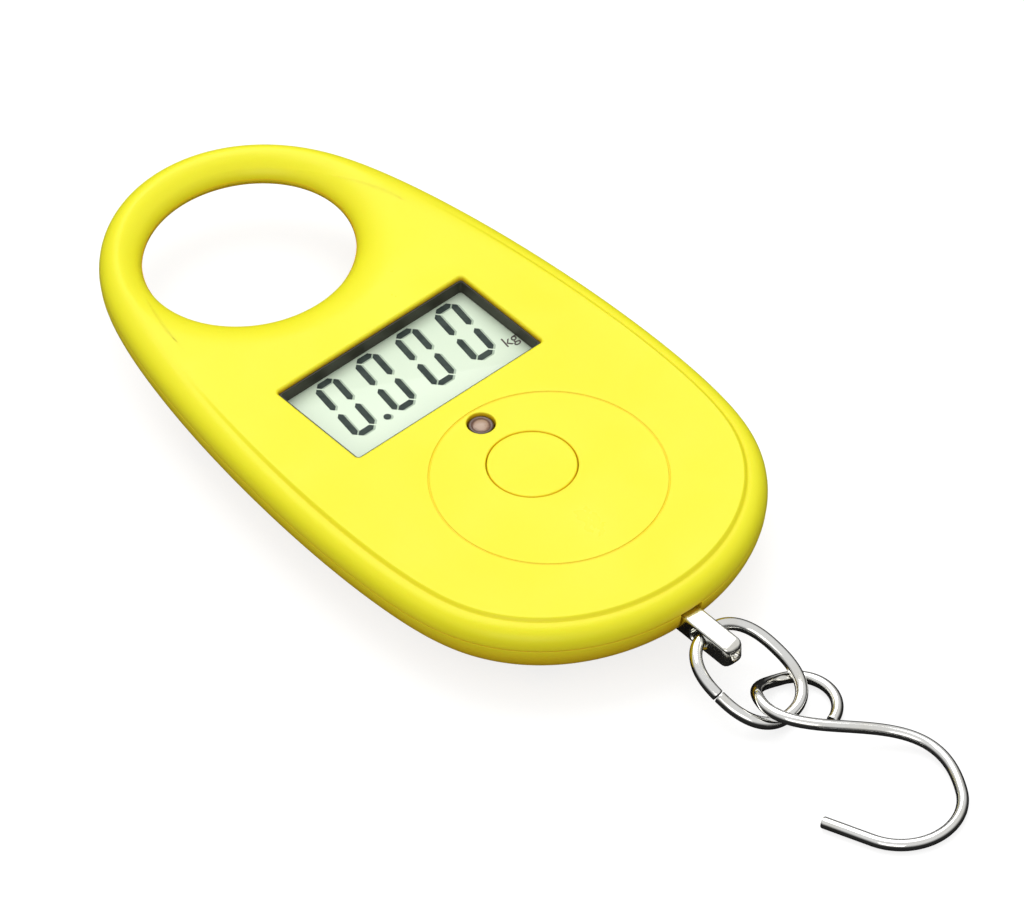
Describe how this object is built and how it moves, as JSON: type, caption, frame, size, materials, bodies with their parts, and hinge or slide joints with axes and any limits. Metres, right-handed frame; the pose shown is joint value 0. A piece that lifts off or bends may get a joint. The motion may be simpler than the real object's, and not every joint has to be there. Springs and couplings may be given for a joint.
{
  "type": "crane scale",
  "caption": "Pocket digital hanging scale: egg-shaped casing with a finger ring, recessed display, flush button, and an S hook on an oval link below a metal lug.",
  "frame": {"origin": "on the casing's flat back, under the centre of its wide round end", "axes": "+Z out of the display face, +Y towards the finger ring, +X the way the display reads; the scale lies on its back"},
  "size_m": [0.0574, 0.1505, 0.0125],
  "materials": {
    "yellow_shell": "satin, lightly textured moulding",
    "black_plastic": "matte",
    "display_glass": "reflective display, pale green grey",
    "contact_rubber": "matte",
    "indicator": "smoked lens",
    "lamp_resin": "clear resin",
    "board": "solder mask",
    "chip_resin": "epoxy",
    "gauge_foil": "foil on film",
    "bright_wire": "nickel plated",
    "screw_steel": "zinc plated",
    "cell_steel": "nickel plated can",
    "beam_metal": "machined",
    "contact_metal": "sprung strip"
  },
  "bodies": {
    "casing": {"anchor_screw_1": "screw_steel", "anchor_screw_2": "screw_steel", "back_shell": "yellow_shell", "battery_contact_side": "contact_metal", "battery_contact_top": "contact_metal", "battery_holder": "black_plastic", "board_screw_1": "screw_steel", "board_screw_2": "screw_steel", "board_screw_3": "screw_steel", "board_screw_4": "screw_steel", "case_screw_1": "screw_steel", "case_screw_2": "screw_steel", "case_screw_3": "screw_steel", "case_screw_4": "screw_steel", "circuit_board": "board", "coin_cell": "cell_steel", "contact_strip_1": "contact_rubber", "contact_strip_2": "contact_rubber", "controller_blob": "chip_resin", "display_bezel": "black_plastic", "display_holder": "black_plastic", "display_panel": "display_glass", "front_shell": "yellow_shell", "hook_lug": "bright_wire", "indicator_lamp": "lamp_resin", "indicator_lens": "indicator", "load_cell": "beam_metal", "lug_screw_1": "screw_steel", "lug_screw_2": "screw_steel", "strain_gauge_1": "gauge_foil", "strain_gauge_2": "gauge_foil", "switch_body": "screw_steel"},
    "button": {"button_cap": "yellow_shell", "switch_plunger": "black_plastic"},
    "battery_cover": {"battery_door": "yellow_shell"},
    "link": {"oval_link": "bright_wire"},
    "hook": {"s_hook": "bright_wire"}
  },
  "joints": [
    {"name": "button_press", "type": "slide", "parent": "casing", "child": "button", "axis": [0, 0, -1], "range_m": [0, 0.0005], "stiffness_N_per_m": 1500},
    {"name": "battery_door_turn", "type": "hinge", "parent": "casing", "child": "battery_cover", "pos_m": [0, 0.027, 0], "axis": [0, 0, 1], "range_deg": [0, 50]},
    {"name": "link_swing", "type": "hinge", "parent": "casing", "child": "link", "pos_m": [0, -0.0273, 0.0071], "axis": [-0.9877, -0.1564, 0], "range_deg": [-60, 90]},
    {"name": "hook_swing", "type": "hinge", "parent": "link", "child": "hook", "pos_m": [0.00185, -0.03896, 0.00215], "axis": [-0.9877, -0.1564, 0], "range_deg": [0, 90]}
  ]
}
